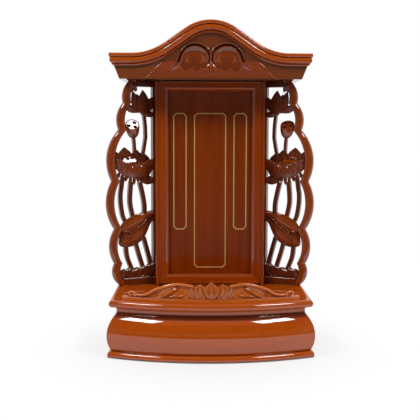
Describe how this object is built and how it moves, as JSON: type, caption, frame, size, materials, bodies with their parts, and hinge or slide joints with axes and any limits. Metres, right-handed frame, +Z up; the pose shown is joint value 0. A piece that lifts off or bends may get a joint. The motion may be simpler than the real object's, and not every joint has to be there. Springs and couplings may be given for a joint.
{
  "type": "ancestor tablet",
  "caption": "Free-standing wooden ancestor tablet with a bow-fronted base, a framed panel that draws forward from its case, pierced lotus wings and an ogee roof.",
  "frame": {"origin": "on the floor, at the middle of the part's box", "axes": "+X to the viewer's right, +Y to the back, +Z up"},
  "size_m": [0.3254, 0.202, 0.485],
  "materials": {
    "base_lacquer": "orange-brown rosewood under a high-gloss lacquer",
    "case_lacquer": "red-brown rosewood under a high-gloss lacquer",
    "panel_lacquer": "dark upright-grained rosewood under a satin lacquer",
    "carving_lacquer": "carved rosewood under a gloss lacquer, darker in the hollows",
    "roof_lacquer": "red-brown rosewood under a high-gloss lacquer",
    "bare_wood": "plain unpolished wood",
    "screw_brass": "brass-plated screws"
  },
  "bodies": {
    "tablet": {"base_bottom_board": "bare_wood", "foot_front": "base_lacquer", "foot_left": "base_lacquer", "foot_right": "base_lacquer", "belly_front": "base_lacquer", "belly_left": "base_lacquer", "belly_right": "base_lacquer", "neck_front": "base_lacquer", "neck_left": "base_lacquer", "neck_right": "base_lacquer", "base_back_board": "case_lacquer", "corner_blocks": "bare_wood", "base_top_board": "base_lacquer", "lotus_crest": "carving_lacquer", "case_side_left": "case_lacquer", "case_side_right": "case_lacquer", "case_floor": "case_lacquer", "case_top": "case_lacquer", "case_back_board": "case_lacquer", "back_screws": "screw_brass", "case_dowels": "bare_wood", "wing_left": "carving_lacquer", "wing_right": "carving_lacquer", "wing_dowels": "bare_wood", "roof_soffit": "roof_lacquer", "roof_front_board": "roof_lacquer", "roof_back_board": "roof_lacquer", "roof_end_left": "roof_lacquer", "roof_end_right": "roof_lacquer", "roof_deck": "roof_lacquer", "roof_crown_front": "roof_lacquer", "roof_crown_left": "roof_lacquer", "roof_crown_right": "roof_lacquer", "pediment_carving": "carving_lacquer", "roof_dowels": "bare_wood"},
    "door": {"door_top_rail": "case_lacquer", "door_bottom_rail": "case_lacquer", "door_stile_left": "case_lacquer", "door_stile_right": "case_lacquer", "inscription_panel": "panel_lacquer"},
    "slips": {"slip_tray": "bare_wood", "name_slip_1": "bare_wood", "name_slip_2": "bare_wood", "name_slip_3": "bare_wood", "name_slip_4": "bare_wood", "name_slip_5": "bare_wood", "name_slip_6": "bare_wood"}
  },
  "joints": [
    {"name": "door_draw", "type": "slide", "parent": "tablet", "child": "door", "axis": [0, -1, 0], "range_m": [0, 0.09]},
    {"name": "slips_draw", "type": "slide", "parent": "tablet", "child": "slips", "axis": [0, -1, 0], "range_m": [0, 0.055]}
  ],
  "couplings": [
    {"joint": "slips_draw", "follows": "door_draw", "ratio": 0.61}
  ]
}
